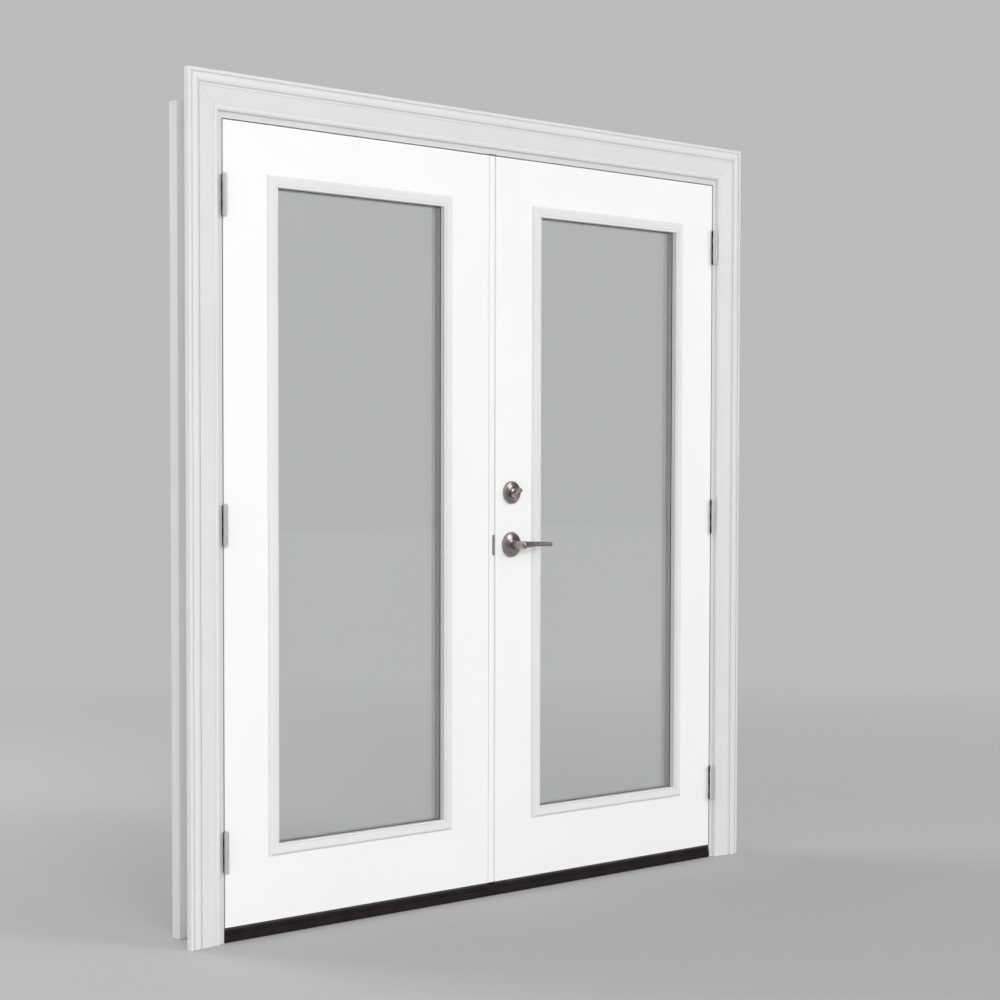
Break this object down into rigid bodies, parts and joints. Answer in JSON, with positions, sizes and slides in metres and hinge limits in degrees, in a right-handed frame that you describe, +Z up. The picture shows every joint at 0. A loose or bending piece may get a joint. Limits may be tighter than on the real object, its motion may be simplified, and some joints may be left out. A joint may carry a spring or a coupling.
{
  "type": "french doors",
  "caption": "Inward-opening glazed double doors in a rabbeted frame with moulded casing, sill, astragal, butt hinges, lever latch and deadbolt.",
  "frame": {"origin": "on the floor line under the sill, midway between the jambs, in the plane of the leaves' room faces", "axes": "+X to the right seen from the room, +Y towards the outdoors, +Z up"},
  "size_m": [2.0572, 0.208, 2.159],
  "materials": {
    "leaf_white": "smooth factory-primed white over a timber and foam core",
    "lite_white": "white moulded glazing frame",
    "glass": "clear float glass",
    "spacer": "mill-finish spacer bar",
    "jamb_white": "primed white jamb",
    "trim_white": "painted white moulding",
    "seal_white": "white foam-filled vinyl",
    "sweep_dark": "dark vinyl",
    "sill_dark": "dark composite",
    "sill_bronze": "dark bronze anodised",
    "satin_nickel": "satin nickel plate",
    "satin_screw": "satin nickel screws",
    "steel_inner": "zinc-plated steel"
  },
  "bodies": {
    "frame": {"left_side_jamb": "jamb_white", "right_side_jamb": "jamb_white", "head_jamb": "jamb_white", "sill_base": "sill_dark", "sill_deck": "sill_bronze", "sill_cap": "sill_dark", "sill_bolt_socket": "steel_inner", "head_bolt_strike": "satin_nickel", "left_weatherstrip": "seal_white", "right_weatherstrip": "seal_white", "head_weatherstrip": "seal_white", "left_casing": "trim_white", "right_casing": "trim_white", "head_casing": "trim_white", "left_brickmould": "trim_white", "right_brickmould": "trim_white", "head_brickmould": "trim_white", "left_jamb_hinge_leaves": "satin_nickel", "right_jamb_hinge_leaves": "satin_nickel", "hinge_pins": "satin_nickel", "jamb_screws": "satin_screw"},
    "passive_leaf": {"passive_slab": "leaf_white", "passive_room_lite_frame": "lite_white", "passive_outer_lite_frame": "lite_white", "passive_room_pane": "glass", "passive_outer_pane": "glass", "passive_glass_spacer": "spacer", "passive_sweep": "sweep_dark", "passive_hinge_leaves": "satin_nickel", "passive_screws": "satin_screw", "astragal": "leaf_white", "astragal_seal": "seal_white", "deadbolt_strike": "satin_nickel", "latch_strike": "satin_nickel"},
    "active_leaf": {"active_slab": "leaf_white", "active_room_lite_frame": "lite_white", "active_outer_lite_frame": "lite_white", "active_room_pane": "glass", "active_outer_pane": "glass", "active_glass_spacer": "spacer", "active_sweep": "sweep_dark", "active_hinge_leaves": "satin_nickel", "active_screws": "satin_screw", "room_lever_rose": "satin_nickel", "outer_lever_rose": "satin_nickel", "deadbolt_rose": "satin_nickel", "deadbolt_cylinder": "satin_nickel", "latch_case": "steel_inner", "latch_faceplate": "satin_nickel", "deadbolt_case": "steel_inner", "deadbolt_faceplate": "satin_nickel"},
    "lever_set": {"room_lever": "satin_nickel", "outer_lever": "satin_nickel", "lever_spindle": "steel_inner"},
    "latch": {"latch_bolt": "satin_nickel"},
    "turn": {"thumb_turn": "satin_nickel"},
    "lock_bolt": {"deadbolt": "satin_nickel"},
    "top_bolt": {"top_flush_bolt": "steel_inner"},
    "bottom_bolt": {"bottom_flush_bolt": "steel_inner"}
  },
  "joints": [
    {"name": "passive_leaf_swing", "type": "hinge", "parent": "frame", "child": "passive_leaf", "pos_m": [-0.9161, -0.011, 1.044], "axis": [0, 0, -1], "range_deg": [0, 110]},
    {"name": "active_leaf_swing", "type": "hinge", "parent": "frame", "child": "active_leaf", "pos_m": [0.9161, -0.011, 1.044], "axis": [0, 0, 1], "range_deg": [0, 110]},
    {"name": "lever_turn", "type": "hinge", "parent": "active_leaf", "child": "lever_set", "pos_m": [0.0726, 0.02225, 0.976], "axis": [0, 1, 0], "range_deg": [0, 50], "stiffness_Nm_per_rad": 1, "springref_deg": -28.65},
    {"name": "latch_slide", "type": "slide", "parent": "active_leaf", "child": "latch", "axis": [1, 0, 0], "range_m": [0, 0.01]},
    {"name": "thumb_turn_rotate", "type": "hinge", "parent": "active_leaf", "child": "turn", "pos_m": [0.0726, 0.02225, 1.121], "axis": [0, 1, 0], "range_deg": [0, 90]},
    {"name": "deadbolt_slide", "type": "slide", "parent": "active_leaf", "child": "lock_bolt", "axis": [-1, 0, 0], "range_m": [0, 0.0254]},
    {"name": "top_bolt_slide", "type": "slide", "parent": "passive_leaf", "child": "top_bolt", "axis": [0, 0, 1], "range_m": [0, 0.019]},
    {"name": "bottom_bolt_slide", "type": "slide", "parent": "passive_leaf", "child": "bottom_bolt", "axis": [0, 0, -1], "range_m": [0, 0.019]}
  ],
  "couplings": [
    {"joint": "latch_slide", "follows": "lever_turn", "m_per_rad": 0.0114},
    {"joint": "thumb_turn_rotate", "follows": "deadbolt_slide", "rad_per_m": 61.84}
  ]
}
